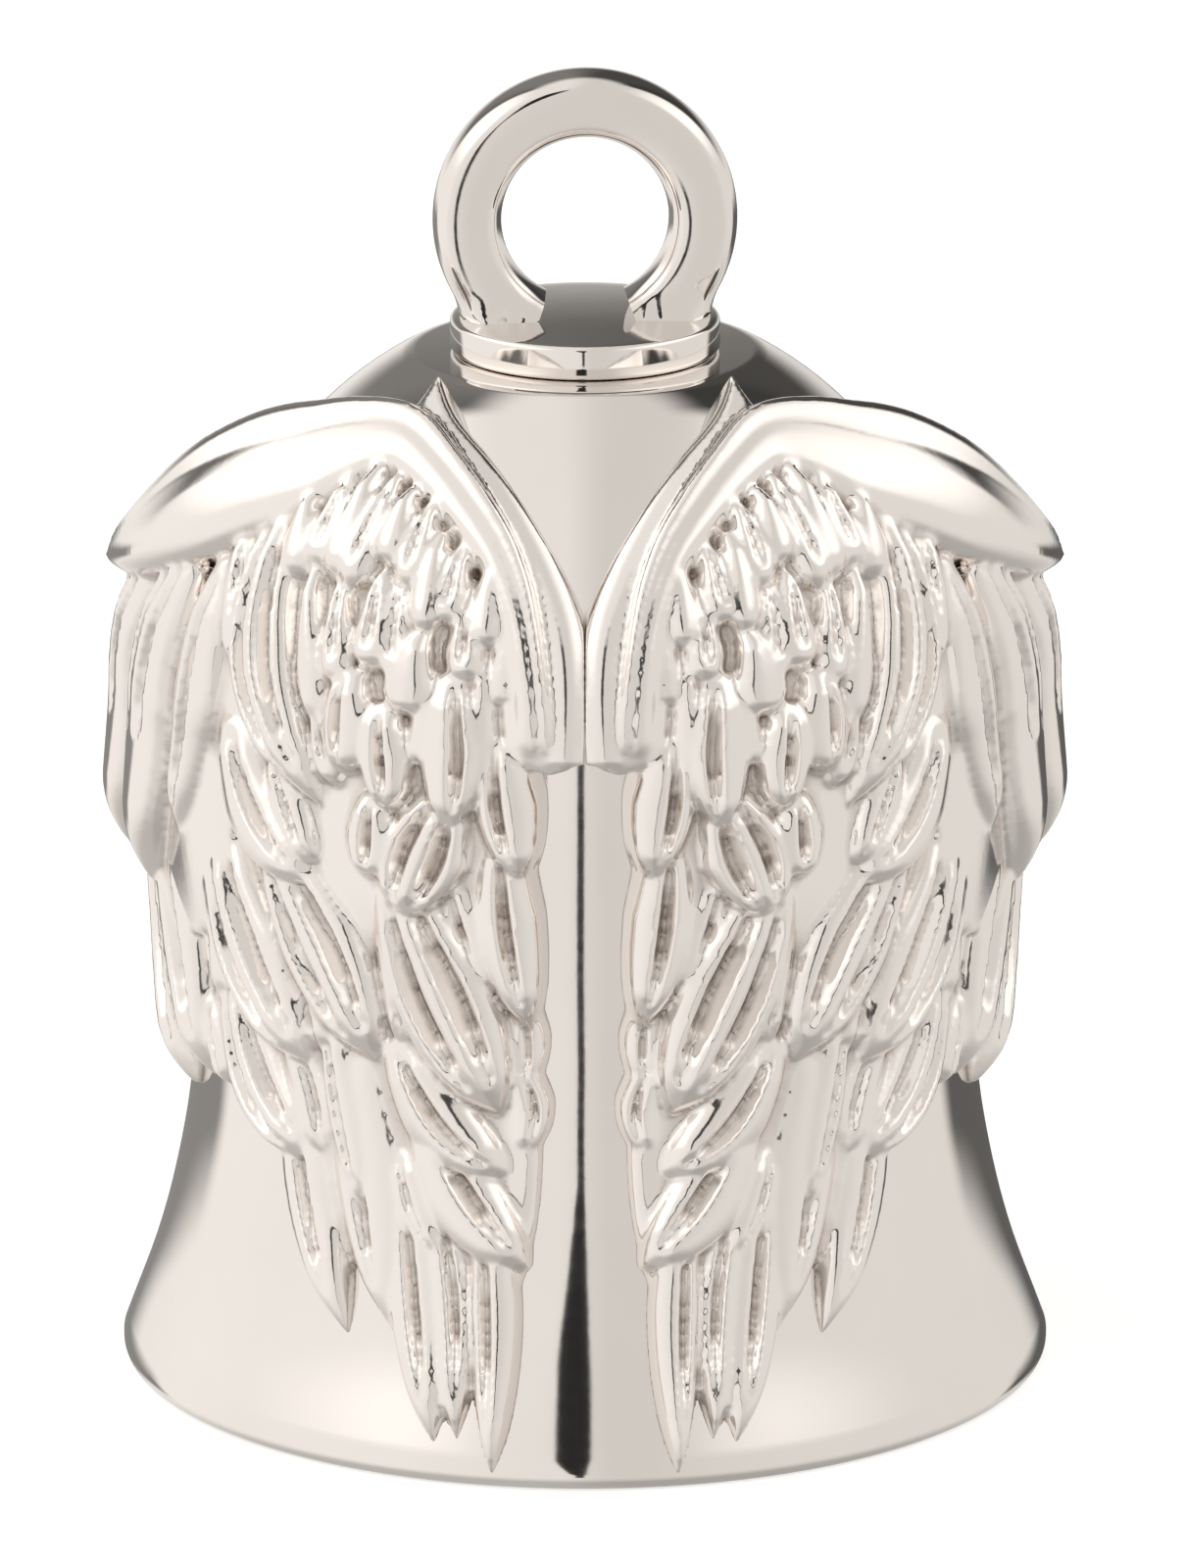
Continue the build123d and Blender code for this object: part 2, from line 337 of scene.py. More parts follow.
def noise(nodes, links, scale, detail, coordinate):
    """A noise pattern on the object's own coordinates."""
    node = nodes.new("ShaderNodeTexNoise")
    node.inputs["Scale"].default_value = scale
    node.inputs["Detail"].default_value = detail
    links.new(coordinate, node.inputs["Vector"])
    return node


def spread(nodes, links, value, low, high):
    """Stretch a 0 to 1 value over a range."""
    node = nodes.new("ShaderNodeMapRange")
    node.inputs["To Min"].default_value = low
    node.inputs["To Max"].default_value = high
    links.new(value, node.inputs["Value"])
    return node.outputs["Result"]


def plated(name, colour, roughness, wave=0.02, grain=0.004):
    """Bright plate over a cast or turned surface: slow waviness, fine pits and uneven gloss."""
    material, nodes, links, shader = new_material(name)
    place = nodes.new("ShaderNodeTexCoord").outputs["Object"]
    slow = noise(nodes, links, 260, 2, place)
    fine = noise(nodes, links, 2600, 3, place)
    tint = nodes.new("ShaderNodeMix")
    tint.data_type = "RGBA"
    tint.inputs["A"].default_value = (*colour, 1)
    tint.inputs["B"].default_value = (*[c * 0.94 for c in colour], 1)
    links.new(slow.outputs["Fac"], tint.inputs["Factor"])
    links.new(tint.outputs["Result"], shader.inputs["Base Color"])
    links.new(spread(nodes, links, fine.outputs["Fac"], roughness * 0.7, roughness * 1.5),
              shader.inputs["Roughness"])
    shader.inputs["Metallic"].default_value = 1.0
    first = nodes.new("ShaderNodeBump")
    first.inputs["Strength"].default_value = wave
    first.inputs["Distance"].default_value = 0.0004
    links.new(slow.outputs["Fac"], first.inputs["Height"])
    second = nodes.new("ShaderNodeBump")
    second.inputs["Strength"].default_value = grain
    second.inputs["Distance"].default_value = 0.0001
    links.new(fine.outputs["Fac"], second.inputs["Height"])
    links.new(first.outputs["Normal"], second.inputs["Normal"])
    links.new(second.outputs["Normal"], shader.inputs["Normal"])
    return material


def cast_plate(name, colour, dull_metal_and_shade_colour, roughness):
    """Plate on the cast wings: bright where it stands proud, dull and brown in the hollows; the
    brown there is partly dull metal and partly painted shade.
    """
    material, nodes, links, shader = new_material(name)
    place = nodes.new("ShaderNodeTexCoord").outputs["Object"]
    # The mask of the hollows, where the colour darkens with dull metal and painted shade.
    dull_metal_and_shade = nodes.new("ShaderNodeAttribute")
    dull_metal_and_shade.attribute_name = "dull_metal_and_shade"
    blotch = noise(nodes, links, 900, 4, place)
    pits = noise(nodes, links, 3800, 4, place)
    amount = nodes.new("ShaderNodeMath")
    amount.operation = "MULTIPLY_ADD"
    amount.use_clamp = True
    links.new(dull_metal_and_shade.outputs["Fac"], amount.inputs[0])
    links.new(spread(nodes, links, blotch.outputs["Fac"], 0.5, 1.5), amount.inputs[1])
    amount.inputs[2].default_value = -0.06
    # Mix in the dark brown: dull metal in the hollows with painted shade on top.
    tint = nodes.new("ShaderNodeMix")
    tint.data_type = "RGBA"
    tint.inputs["A"].default_value = (*colour, 1)
    tint.inputs["B"].default_value = (*dull_metal_and_shade_colour, 1)
    links.new(amount.outputs["Value"], tint.inputs["Factor"])
    links.new(tint.outputs["Result"], shader.inputs["Base Color"])
    links.new(spread(nodes, links, amount.outputs["Value"], roughness, 0.5),
              shader.inputs["Roughness"])
    shader.inputs["Metallic"].default_value = 1.0
    bump = nodes.new("ShaderNodeBump")
    bump.inputs["Distance"].default_value = 0.00012
    links.new(spread(nodes, links, amount.outputs["Value"], 0.02, 0.6), bump.inputs["Strength"])
    links.new(pits.outputs["Fac"], bump.inputs["Height"])
    links.new(bump.outputs["Normal"], shader.inputs["Normal"])
    return material


# ------------------------------------------------------------------ operators: the bell
class RIDEBELL_OT_shell(bpy.types.Operator):
    """Turn the bell's wall from crown to rim, inside and out"""

    bl_idname = "ridebell.shell"
    bl_label = "Bell Shell"

    def execute(self, context):
        sizes = context.scene.ride_bell_sizes
        finish = context.scene.ride_bell_finish
        under_z = NUT_HIGH.z
        inner_r = DOME_R - sizes.wall
        under_angle = math.degrees(math.asin((under_z - DOME_CENTRE_Z) / inner_r))
        # The edge where the crown's flat meets the dome is rounded by an arc that touches both.
        edge = sizes.crown_round
        edge_z = sizes.crown_seat - edge
        edge_r = math.sqrt((DOME_R - edge) ** 2 - (edge_z - DOME_CENTRE_Z) ** 2)
        edge_angle = math.degrees(math.atan2(edge_z - DOME_CENTRE_Z, edge_r))
        outside = arc((edge_r, edge_z), edge, 90, edge_angle, 8)
        outside += arc((0, DOME_CENTRE_Z), DOME_R, edge_angle, 0, DOME_STEPS)[1:]
        outside += cubic_through(FLANK, FLANK_STEPS)[1:]
        lip = arc((MOUTH_R - sizes.lip_inset, sizes.lip_inset), sizes.lip_inset, 0, -90, 8)
        inner_lip = arc((MOUTH_R - sizes.wall + INNER_LIP_ROUND, INNER_LIP_ROUND),
                        INNER_LIP_ROUND, -90, -180, 5)
        inside = [(r - sizes.wall, z) for r, z in cubic_through(FLANK, FLANK_STEPS)][::-1]
        inside += arc((0, DOME_CENTRE_Z), inner_r, 0, under_angle, DOME_STEPS)[1:]
        crown = [(sizes.crown_hole, under_z), (sizes.crown_hole, sizes.crown_seat), outside[0]]
        piece = turned(outside + lip + inner_lip + inside + crown, 180)
        metal = plated("bell_nickel_plate", finish.nickel, finish.gloss)
        finish_piece(piece, "bell_shell_cast", metal, "bell", "bell_shell")
        return {"FINISHED"}


class RIDEBELL_OT_collar(bpy.types.Operator):
    """Turn the collar on the crown, with its shank"""

    bl_idname = "ridebell.collar"
    bl_label = "Crown Collar"

    def execute(self, context):
        sizes = context.scene.ride_bell_sizes
        finish = context.scene.ride_bell_finish
        radius = COLLAR_HIGH.x
        top = COLLAR_HIGH.z
        edge = sizes.collar_round
        crown = sizes.collar_crown
        outline = [(radius * share, top - crown * share * share)
                   for share in (0, 0.15, 0.3, 0.45, 0.6, 0.75, 0.85, 0.93)]
        outline += arc((radius - edge, top - crown - edge), edge, 86, 0, 6)
        outline += arc((radius - COLLAR_FOOT_ROUND, sizes.crown_seat + COLLAR_FOOT_ROUND),
                       COLLAR_FOOT_ROUND, 0, -90, 5)
        outline += [(SHANK_R, sizes.crown_seat), (SHANK_R, COLLAR_LOW.z + SHANK_CHAMFER),
                    (SHANK_R - SHANK_CHAMFER, COLLAR_LOW.z), (0, COLLAR_LOW.z)]
        piece = turned(outline, 128)
        metal = plated("collar_nickel_plate", finish.nickel, finish.gloss)
        finish_piece(piece, "crown_collar_turned", metal, "bell", "crown_collar")
        return {"FINISHED"}


class RIDEBELL_OT_ring(bpy.types.Operator):
    """Sweep the hanging ring from foot to foot and spread its feet on the collar"""

    bl_idname = "ridebell.ring"
    bl_label = "Hanging Ring"

    def execute(self, context):
        sizes = context.scene.ride_bell_sizes
        finish = context.scene.ride_bell_finish
        outer_r = RING_HIGH.x
        centre_z = RING_HIGH.z - outer_r
        sweep_r = outer_r - sizes.wire
        gap = math.radians(sizes.throat)
        floor_z = COLLAR_HIGH.z - sizes.collar_crown
        start()
        bpy.ops.mesh.primitive_circle_add(
            vertices=48, radius=sizes.wire, location=(0, 0, centre_z - sweep_r),
            rotation=(0, math.pi / 2, 0))
        bpy.ops.object.transform_apply(location=True, rotation=True, scale=True)
        bpy.ops.object.mode_set(mode="EDIT")
        # The wire is flat in front and behind, and then as deep as it was when round.
        limit = sizes.wire * FLAT_SHARE
        for side in (-1, 1):
            pick(lambda p: side * p.y > limit)
            bpy.ops.transform.resize(
                value=(1, FLAT_BULGE, 1), center_override=(0, side * limit, 0))
        bpy.ops.mesh.select_all(action="SELECT")
        deep = sizes.wire / (limit + FLAT_BULGE * (sizes.wire - limit))
        bpy.ops.transform.resize(value=(1, deep, 1), center_override=(0, 0, centre_z - sweep_r))
        bpy.ops.mesh.select_all(action="SELECT")
        bpy.ops.mesh.spin(steps=180, angle=2 * math.pi, center=(0, 0, centre_z), axis=(0, 1, 0))
        tidy_surface()
        pick(lambda p: abs(math.atan2(p.x, centre_z - p.z)) < gap - 0.01)
        bpy.ops.mesh.delete(type="VERT")
        for side in (-1, 1):
            pick(lambda p: side * p.x > 0 and abs(math.atan2(p.x, centre_z - p.z)) < gap + 0.02)
            bpy.ops.mesh.edge_face_add()
        for side in (-1, 1):
            foot = Vector((side * RING_FOOT_X, 0, floor_z))
            pick(lambda p: side * p.x > 0 and p.z < floor_z + RING_FOOT_HEIGHT)
            bpy.ops.transform.resize(
                value=(1.18, 1.2, 1.0), center_override=foot, use_proportional_edit=True,
                proportional_edit_falloff="SHARP", proportional_size=0.9)
        bpy.ops.mesh.select_all(action="SELECT")
        bpy.ops.transform.rotate(value=sizes.ring_turn, orient_axis="Z", center_override=(0, 0, 0))
        bpy.ops.mesh.select_all(action="SELECT")
        bpy.ops.mesh.bisect(plane_co=(0, 0, floor_z + 0.004), plane_no=(0, 0, 1),
                            use_fill=True, clear_inner=True)
        tidy_surface()
        bpy.ops.object.mode_set(mode="OBJECT")
        piece = bpy.context.active_object
        metal = plated("ring_nickel_plate", finish.nickel, finish.gloss)
        finish_piece(piece, "hanging_ring_cast", metal, "bell", "hanging_ring")
        return {"FINISHED"}


# ------------------------------------------------------------------ the feathers
# Each row is one feather: its root, its middle and its tip as (degrees off the front, height),
# then its width in mm and how high its back stands off the bell at the root and at the tip.
PRIMARIES = [
    ((45, 12), (40, 7.4), (32.3, 3.9), 2.1, 0.8, 0.8),
    ((41, 12), (38, 8.6), (34.8, 5.6), 1.7, 0.7, 0.62),
    ((33.5, 13), (30, 8.4), (25.4, 4.2), 2.5, 1.0, 0.85),
    ((25, 9), (21.6, 4.8), (18.2, 1.5), 1.9, 0.8, 0.85),
    ((21, 9), (17.3, 5.2), (15.3, 1.6), 1.5, 0.75, 0.8),
    ((13, 9), (11.0, 4.4), (10.6, 0.8), 1.5, 0.9, 0.9),
    ((9.0, 14.4), (7.2, 12.6), (8.2, 11.0), 1.2, 0.8, 0.7),
    ((9.2, 12.4), (7.0, 10.6), (8.4, 9.2), 1.4, 0.8, 0.7),
]
SECONDARIES = [
    ((57, 13.4), (50, 10.4), (39.2, 8.5), 2.9, 1.2, 1.15),
    ((45, 12.6), (40.5, 10.6), (37.2, 8.4), 1.7, 1.0, 0.9),
    ((36.5, 13.2), (33.2, 10.0), (29.8, 7.3), 1.5, 1.2, 1.0),
    ((26, 12.6), (17.5, 10.0), (9.2, 8.9), 2.4, 1.25, 1.2),
    ((22, 10.4), (14.5, 7.8), (6.6, 6.3), 2.5, 1.1, 1.15),
    ((25, 9.4), (22, 7.6), (18.6, 6.3), 1.4, 0.95, 0.95),
    ((63, 12.2), (60.8, 10.8), (58.8, 9.6), 1.2, 1.1, 0.9),
]
MIDDLE = [
    ((90, 16.5), (86, 12.4), (76, 8.8), 3.0, 1.75, 1.1),
    ((76, 17.5), (71.5, 13.4), (63.5, 9.8), 3.0, 1.8, 1.4),
    ((64, 17), (60.5, 14.2), (58.6, 11.8), 1.5, 1.35, 1.15),
    ((58, 17.6), (51, 14.2), (39.3, 11.3), 3.3, 1.7, 1.55),
    ((45.5, 18), (36.6, 14.8), (28.4, 11.8), 3.2, 1.75, 1.55),
    ((41.5, 15.4), (39.2, 13.4), (36.6, 11.5), 1.4, 1.3, 1.2),
    ((27.5, 16.4), (25.2, 14.2), (24.4, 12.1), 1.3, 1.45, 1.25),
    ((25.2, 17.4), (18.8, 14.0), (10.6, 10.6), 3.3, 1.75, 1.5),
    ((17.5, 17.8), (14.2, 15.4), (12.0, 13.8), 1.5, 1.45, 1.2),
    ((10.8, 19.2), (9.6, 16.0), (6.8, 13.1), 2.0, 1.6, 1.5),
]
COVERTS = [
    ((92, 24.2), (98, 20), (98, 15.6), 3.2, 2.7, 2.6),
    ((80, 24.4), (87, 20.2), (87, 15.3), 3.1, 2.95, 2.95),
    ((67, 25.2), (73.5, 20.4), (75, 15.0), 3.2, 2.8, 2.65),
    ((57.5, 25.6), (61.5, 20.8), (67.5, 16.5), 2.35, 2.5, 2.05),
    ((55, 26.6), (53.4, 24.4), (52.0, 22.4), 1.41, 2.45, 2.2),
    ((49, 27.7), (46.8, 22.8), (36.3, 19.1), 2.63, 2.5, 2.3),
    ((45, 20.6), (41.0, 18.8), (36.8, 17.3), 1.41, 1.9, 1.85),
    ((53.5, 21.0), (48, 18.6), (37.8, 16.8), 2.54, 2.1, 2.05),
    ((31.6, 23.4), (31.6, 21.8), (31.6, 20.2), 1.79, 2.25, 2.25),
    ((26.5, 22.6), (26.0, 20.9), (25.2, 19.3), 1.79, 2.25, 2.25),
    ((17.2, 23.6), (16.8, 21.2), (17.0, 18.9), 2.07, 2.15, 2.25),
    ((13.4, 24.4), (13.6, 21.6), (12.6, 19.2), 1.41, 1.95, 1.85),
    ((28.0, 19.8), (28.3, 18.5), (28.2, 17.3), 1.79, 2.0, 2.0),
    ((17.6, 20.0), (21.4, 18.0), (23.8, 16.3), 2.82, 2.0, 2.05),
    ((10.6, 21.8), (9.6, 19.6), (7.6, 17.6), 1.97, 1.95, 1.95),
]
SMALL_COVERTS = [
    ((44.5, 28.0), (44.3, 26.8), (44.0, 25.4), 1.34, 2.55, 2.35),
    ((38.6, 28.5), (39.6, 27.2), (41.0, 25.8), 1.25, 2.55, 2.35),
    ((34.6, 28.9), (35.6, 27.6), (37.2, 25.6), 1.34, 2.55, 2.4),
    ((30.8, 28.7), (32.4, 27.2), (34.2, 25.4), 1.25, 2.5, 2.4),
    ((27.0, 28.5), (27.8, 27.5), (28.6, 26.3), 1.25, 2.55, 2.5),
    ((23.2, 28.2), (24.0, 27.2), (25.2, 25.7), 1.25, 2.45, 2.4),
    ((20.8, 27.4), (21.4, 26.0), (21.6, 24.5), 1.25, 2.35, 2.35),
    ((17.2, 27.2), (17.9, 26.2), (18.8, 24.8), 1.25, 2.3, 2.25),
    ((12.6, 26.8), (12.9, 25.6), (13.2, 24.2), 1.34, 2.15, 2.15),
    ((15.6, 25.8), (15.6, 24.6), (15.4, 23.2), 1.34, 2.15, 2.15),
    ((10.2, 25.4), (10.2, 24.0), (10.6, 22.4), 1.15, 1.95, 1.85),
    ((29.0, 26.2), (28.6, 24.9), (29.4, 23.3), 1.44, 2.35, 2.3),
    ((21.6, 24.8), (22.8, 23.4), (23.2, 22.2), 1.73, 2.3, 2.3),
    ((25.6, 26.2), (25.6, 24.6), (25.2, 23.0), 1.25, 2.25, 2.15),
    ((40.6, 26.2), (38.6, 23.7), (36.0, 21.2), 1.25, 2.3, 2.05),
    ((35.2, 26.0), (34.4, 24.2), (33.8, 22.6), 1.25, 2.25, 2.15),
    ((19.8, 23.4), (20.6, 22.0), (21.2, 20.6), 1.25, 2.05, 1.95),
    ((37.0, 22.6), (35.6, 21.0), (33.6, 19.6), 1.15, 2.0, 1.9),
]
# The bands of the wing's arm and shoulder. Each row is one point along a band: degrees off the
# front, height, the band's width and how high its back stands there.
ARM = [
    (6.1, 21.1, 1.3, 1.95), (6.2, 22.0, 1.25, 2.0), (6.5, 23.0, 1.15, 2.05),
    (7.2, 24.0, 1.15, 2.1), (8.3, 25.0, 1.2, 2.1), (9.8, 25.9, 1.3, 2.15),
    (12.4, 26.85, 1.4, 2.2), (18, 27.95, 1.6, 2.25), (25, 28.85, 1.8, 2.3),
    (34, 29.45, 2.3, 2.35), (43, 29.2, 3.1, 2.5), (50, 28.65, 3.8, 2.65), (60, 27.8, 4.1, 2.9),
    (68, 26.75, 3.8, 3.15), (74, 25.8, 2.9, 3.3), (80, 24.9, 2.0, 3.4), (87, 24.15, 1.2, 3.42),
    (92, 23.65, 0.5, 3.42),
]
INNER_RIDGE = [
    (35.2, 30.7, 0.15, 1.72), (33.0, 30.3, 0.6, 1.75), (29.0, 29.75, 1.0, 1.75),
    (24.0, 29.3, 1.05, 1.75), (20.0, 28.9, 1.1, 1.75), (13.7, 28.0, 1.2, 1.75),
    (9.4, 27.1, 1.3, 1.75), (5.8, 26.1, 1.4, 1.75), (3.5, 25.1, 1.5, 1.75),
    (2.3, 24.1, 1.5, 1.8), (1.9, 23.2, 1.45, 1.85), (1.9, 22.0, 1.4, 1.9),
    (2.1, 21.1, 1.4, 1.88),
]
SPIKE = [(31.0, 29.1, 3.2, 1.9), (32.5, 29.6, 1.7, 1.85), (33.6, 30.05, 0.8, 1.8),
         (34.8, 30.65, 0.15, 1.72)]
# Broad, plain padding that fills the wing out between the feathers.
BED = [
    ((50, 27.5), (36, 22), (30, 15), 9.5, 1.8, 1.2),
    ((78, 25.5), (72, 20), (64, 14), 7.0, 2.25, 1.4),
    ((84, 24), (86, 19.5), (86, 15), 6.0, 2.3, 1.9),
    ((57, 25), (54, 21), (50, 17.5), 3.2, 1.75, 1.5),
    ((4.0, 25.2), (4.0, 23.0), (4.0, 20.75), 2.75, 1.65, 1.85),
    ((22, 27), (18, 22), (18, 16), 5.0, 1.7, 1.2),
    ((60, 19), (50, 13), (42, 9), 6.0, 1.0, 0.6),
    ((36, 18), (28, 12), (24, 5), 6.0, 1.0, 0.45),
    ((20, 18), (15, 12), (14, 4), 3.6, 0.95, 0.4),
]
# How a feather is modelled: its columns, how far down its foot is drawn, how high its edge stands
# as a share of its back, where its tip starts to fall, and how wide a groove is cut.
FEATHER_COLUMNS = 16
FOOT = -5.0
EDGE = 0.2
TIP_START = 0.76
GROOVE_REACHES = (0.16, 0.1)
GROOVE_INSETS = (0.0, 0.15, 0.4)
# How far every feather is turned round the bell, in degrees, and how deep its foot is sunk.
WING_TURN = 0.7
FOOT_SINK = 0.3
FOOT_DRAFT = 0.12
# How far the wing's back goes into the bell, and how far the two wings stay apart.
BACK_SINK = 0.02
HALF_GAP = 0.02
# How far below its surroundings a hollow starts to dull and take painted shade, and over what depth
# it turns fully dull and shaded.
DULL_AND_SHADE_START = 0.035
DULL_AND_SHADE_DEPTH = 0.19


def pointed(along):
    """How wide a pointed feather is, as a share of its width, from its root at 0 to its tip."""
    root = 0.5 + 0.5 * min(1.0, along / 0.45) ** 0.8
    tip = max(0.0, 1 - max(0.0, (along - 0.42) / 0.58) ** 2.1) ** 0.72
    return max(0.04, root * tip)


def teardrop(along):
    """How wide a teardrop feather is: narrow at its root and full near its round tip."""
    root = 0.35 + 0.65 * min(1.0, along / 0.6) ** 1.1
    tip = math.sqrt(max(0.0, 1 - max(0.0, (along - 0.6) / 0.4) ** 2))
    return max(0.05, root * tip)


def band_width(along):
    """The width of a band of even width, rounded off at its start."""
    return math.sqrt(max(0.01, 1 - max(0.0, 1 - along / 0.04) ** 2))


def pillow(across):
    """How high a feather's back stands at a place across it, from its keel at 0 to its edge."""
    return EDGE + (1 - EDGE) * math.sqrt(1 - across * across)


def slab(across):
    """A nearly flat back with steep edges."""
    return EDGE + (1 - EDGE) * (1 - across * across) ** 0.15


def ridge(across):
    """A rounded ridge."""
    return EDGE + (1 - EDGE) * (1 - across * across) ** 0.62


def arm_section(across):
    """The arm's back: a crest along its upper edge, a crease and a rolled face below."""
    places = (-1, -0.85, -0.6, -0.3, 0.0, 0.3, 0.44, 0.56, 0.85, 1)
    rises = (0.1, 0.62, 0.88, 0.98, 1.0, 0.94, 0.88, 0.98, 1.0, 0.7)
    return float(np.interp(across, places, rises))


def feather_form(width_at, rise_at, grooves=(), rows=30, depth=0.16, length=(-0.85, 0.68), tip=1.1):
    """Model one flat, straight feather of unit size: puffed up, grooved, walled and closed."""
    start()
    bpy.ops.mesh.primitive_grid_add(x_subdivisions=FEATHER_COLUMNS, y_subdivisions=rows, size=2)
    bpy.ops.object.mode_set(mode="EDIT")
    half = FEATHER_COLUMNS // 2
    for column in range(-half, half + 1):
        pick(lambda p: abs(p.x - column / half) < 0.01)
        bpy.ops.transform.translate(value=(0, 0, rise_at(column / half)))
    for groove in grooves:
        for reach in GROOVE_REACHES:
            for inset in GROOVE_INSETS:
                low, high = length[0] + inset, length[1] - inset
                pick(lambda p: abs(p.x - groove) < reach and low < p.y < high)
                bpy.ops.transform.translate(value=(0, 0, -depth))
    for row in range(rows + 1):
        along = row / rows
        place = 2 * along - 1
        pick(lambda p: abs(p.y - place) < 0.5 / rows)
        root = min(1.0, 0.6 + along * 2) if tip else band_width(along) ** 0.5
        bpy.ops.transform.resize(value=(width_at(along), 1, root), center_override=(0, place, 0))
        fall = max(0.0, (along - TIP_START) / (1 - TIP_START)) ** 2
        bpy.ops.transform.translate(value=(0, 0, -tip * fall))
    bpy.ops.mesh.select_all(action="SELECT")
    bpy.ops.mesh.region_to_loop()
    bpy.ops.mesh.extrude_region_move()
    bpy.ops.transform.resize(value=(1, 1, 0), center_override=(0, 0, FOOT))
    bpy.ops.mesh.edge_face_add()
    tidy_surface()
    bpy.ops.object.mode_set(mode="OBJECT")
    return bpy.context.active_object


def through(points, share):
    """A smooth line through points, at shares of its length."""
    points = np.array(points, dtype=float)
    step = np.hypot(np.diff(points[:, 0]) * 0.2, np.diff(points[:, 1]))
    along = np.concatenate([[0.0], np.cumsum(step)])
    along /= along[-1]
    slope = np.gradient(points, along, axis=0)
    i = np.clip(np.searchsorted(along, share) - 1, 0, len(along) - 2)
    gap = (along[i + 1] - along[i])[:, None]
    t = (share - along[i])[:, None] / gap
    return ((1 + 2 * t) * (1 - t) ** 2 * points[i] + t * (1 - t) ** 2 * gap * slope[i]
            + t * t * (3 - 2 * t) * points[i + 1] + t * t * (t - 1) * gap * slope[i + 1])


def bell_height(z, height):
    """The height on the bell itself below a place that stands off it."""
    dome = DOME_CENTRE_Z + (z - DOME_CENTRE_Z) * DOME_R / (DOME_R + height)
    flank = z + height * np.interp(z, LINE_Z, LINE_SLOPE)
    return np.where(z > DOME_CENTRE_Z, dome, flank)


def lay_band(form, line, depth):
    """Copy a feather form and bend it on to the bell along a line of its own."""
    feather = form.copy()
    feather.data = form.data.copy()
    bpy.context.scene.collection.objects.link(feather)
    points = places_of(feather.data)
    share = np.clip((points[:, 1] + 1) / 2, 0, 1)
    is_foot = points[:, 2] < FOOT / 2

    def spine(at):
        angle, z, width, top = through(line, np.clip(at, 0, 1)).T
        angle = np.radians(angle + WING_TURN)
        return angle, bell_height(z, top), width, top

    angle, z, width, top = spine(share)
    level = np.zeros(len(points))
    here = on_bell(angle, z, level)
    ahead = on_bell(*spine(share + 0.02)[:2], level)
    behind = on_bell(*spine(share - 0.02)[:2], level)
    outward = on_bell(angle, z, level + 1) - here
    sideways = np.cross(outward, ahead - behind)
    sideways /= np.linalg.norm(sideways, axis=1)[:, None]
    across = points[:, 0] * width / 2 * DOME_R / (DOME_R + top)
    across = across + np.where(is_foot, np.sign(across) * FOOT_DRAFT, 0)
    flat = here + sideways * across[:, None]
    height = np.where(is_foot, -FOOT_SINK, top - depth * (1 - points[:, 2]))
    laid = on_bell(np.arctan2(flat[:, 0], -flat[:, 1]), flat[:, 2], height)
    feather.data.vertices.foreach_set("co", laid.ravel())
    feather.data.update()
    return feather


def lay_feather(form, row, depth):
    """Lay a feather given by its root, middle and tip."""
    root, middle, tip, width, root_top, tip_top = row
    line = [(*root, width, root_top), (*middle, width, (root_top + tip_top) / 2),
            (*tip, width, tip_top)]
    return lay_band(form, line, depth)


def dull_metal_and_shade_of(mesh, rounds=40):
    """How far each vertex lies below the surface around it, as 0 on the backs and 1 in the pits:
    the mask for dull metal and painted shade.
    """
    count = len(mesh.vertices)
    height = height_off_bell(places_of(mesh) / MM)
    edges = np.zeros(len(mesh.edges) * 2, dtype=np.int64)
    mesh.edges.foreach_get("vertices", edges)
    a, b = edges.reshape(-1, 2).T
    neighbours = np.bincount(a, minlength=count) + np.bincount(b, minlength=count)
    around = height.copy()
    for _ in range(rounds):
        total = np.bincount(a, around[b], count) + np.bincount(b, around[a], count)
        around = 0.5 * around + 0.5 * total / neighbours
    return np.clip((around - height - DULL_AND_SHADE_START) / DULL_AND_SHADE_DEPTH, 0, 1)


